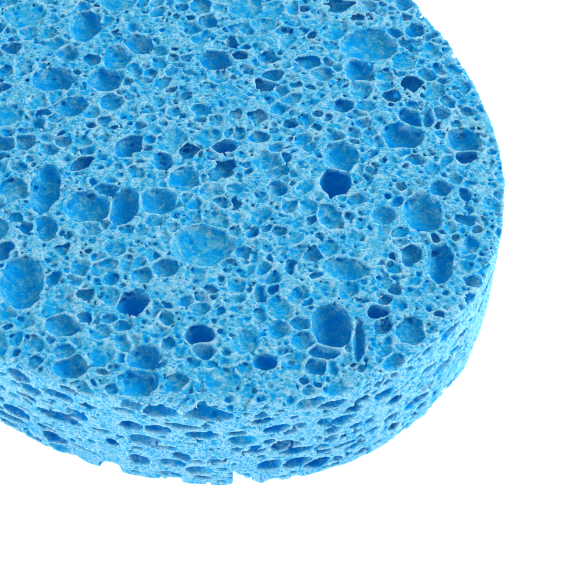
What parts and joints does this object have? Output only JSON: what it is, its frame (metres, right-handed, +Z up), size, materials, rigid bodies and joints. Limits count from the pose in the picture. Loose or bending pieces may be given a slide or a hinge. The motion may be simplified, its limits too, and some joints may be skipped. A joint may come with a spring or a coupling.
{
  "type": "cellulose sponge",
  "caption": "Oval coarse-pored cellulose sponge, one cut slab with flat faces and upright sides, for wiping, scrubbing and holding water.",
  "frame": {"origin": "centre of the flat underside, which rests on a surface", "axes": "+X along the sponge's length, +Y across its width, +Z up through its thickness to the top face"},
  "size_m": [0.15, 0.1, 0.02],
  "materials": {
    "cellulose": "matte open-pored dyed cellulose foam, paler on the cut rims of the pores and deeper blue inside them"
  },
  "bodies": {
    "root": {"sponge": "cellulose"}
  },
  "joints": []
}
